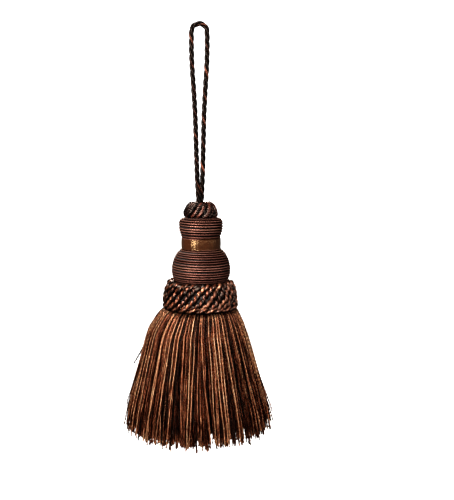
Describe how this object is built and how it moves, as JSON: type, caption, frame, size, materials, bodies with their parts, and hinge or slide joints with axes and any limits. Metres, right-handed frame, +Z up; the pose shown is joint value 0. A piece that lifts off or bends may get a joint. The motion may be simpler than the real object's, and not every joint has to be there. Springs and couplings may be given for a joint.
{
  "type": "key tassel",
  "caption": "Hanging key tassel: a twisted cord loop over a wound and roped head with a ribbon band, and a full flared skirt of fine strands.",
  "frame": {"origin": "the inside top of the hanging loop, where a key, knob or hook carries it", "axes": "+Z up along the tassel's axis, which hangs straight down from the origin; the front faces -Y"},
  "size_m": [0.0895, 0.0897, 0.2444],
  "materials": {
    "loop_cord": "near-black brown twisted cord, two plies, soft gloss",
    "rope": "twisted rayon rope, dark brown with copper and gold lights",
    "winding": "reddish brown twisted yarn wound in close turns",
    "ribbon": "bronze brown satin ribbon, glossy",
    "skirt": "fine lustrous strands mixed in copper, gold, chestnut and dark brown"
  },
  "bodies": {
    "root": {"hanging_loop": "loop_cord", "rope_rosette": "rope", "upper_winding": "winding", "ribbon_band": "ribbon", "lower_winding": "winding", "rope_collar": "rope", "fringe_skirt": "skirt"}
  },
  "joints": []
}
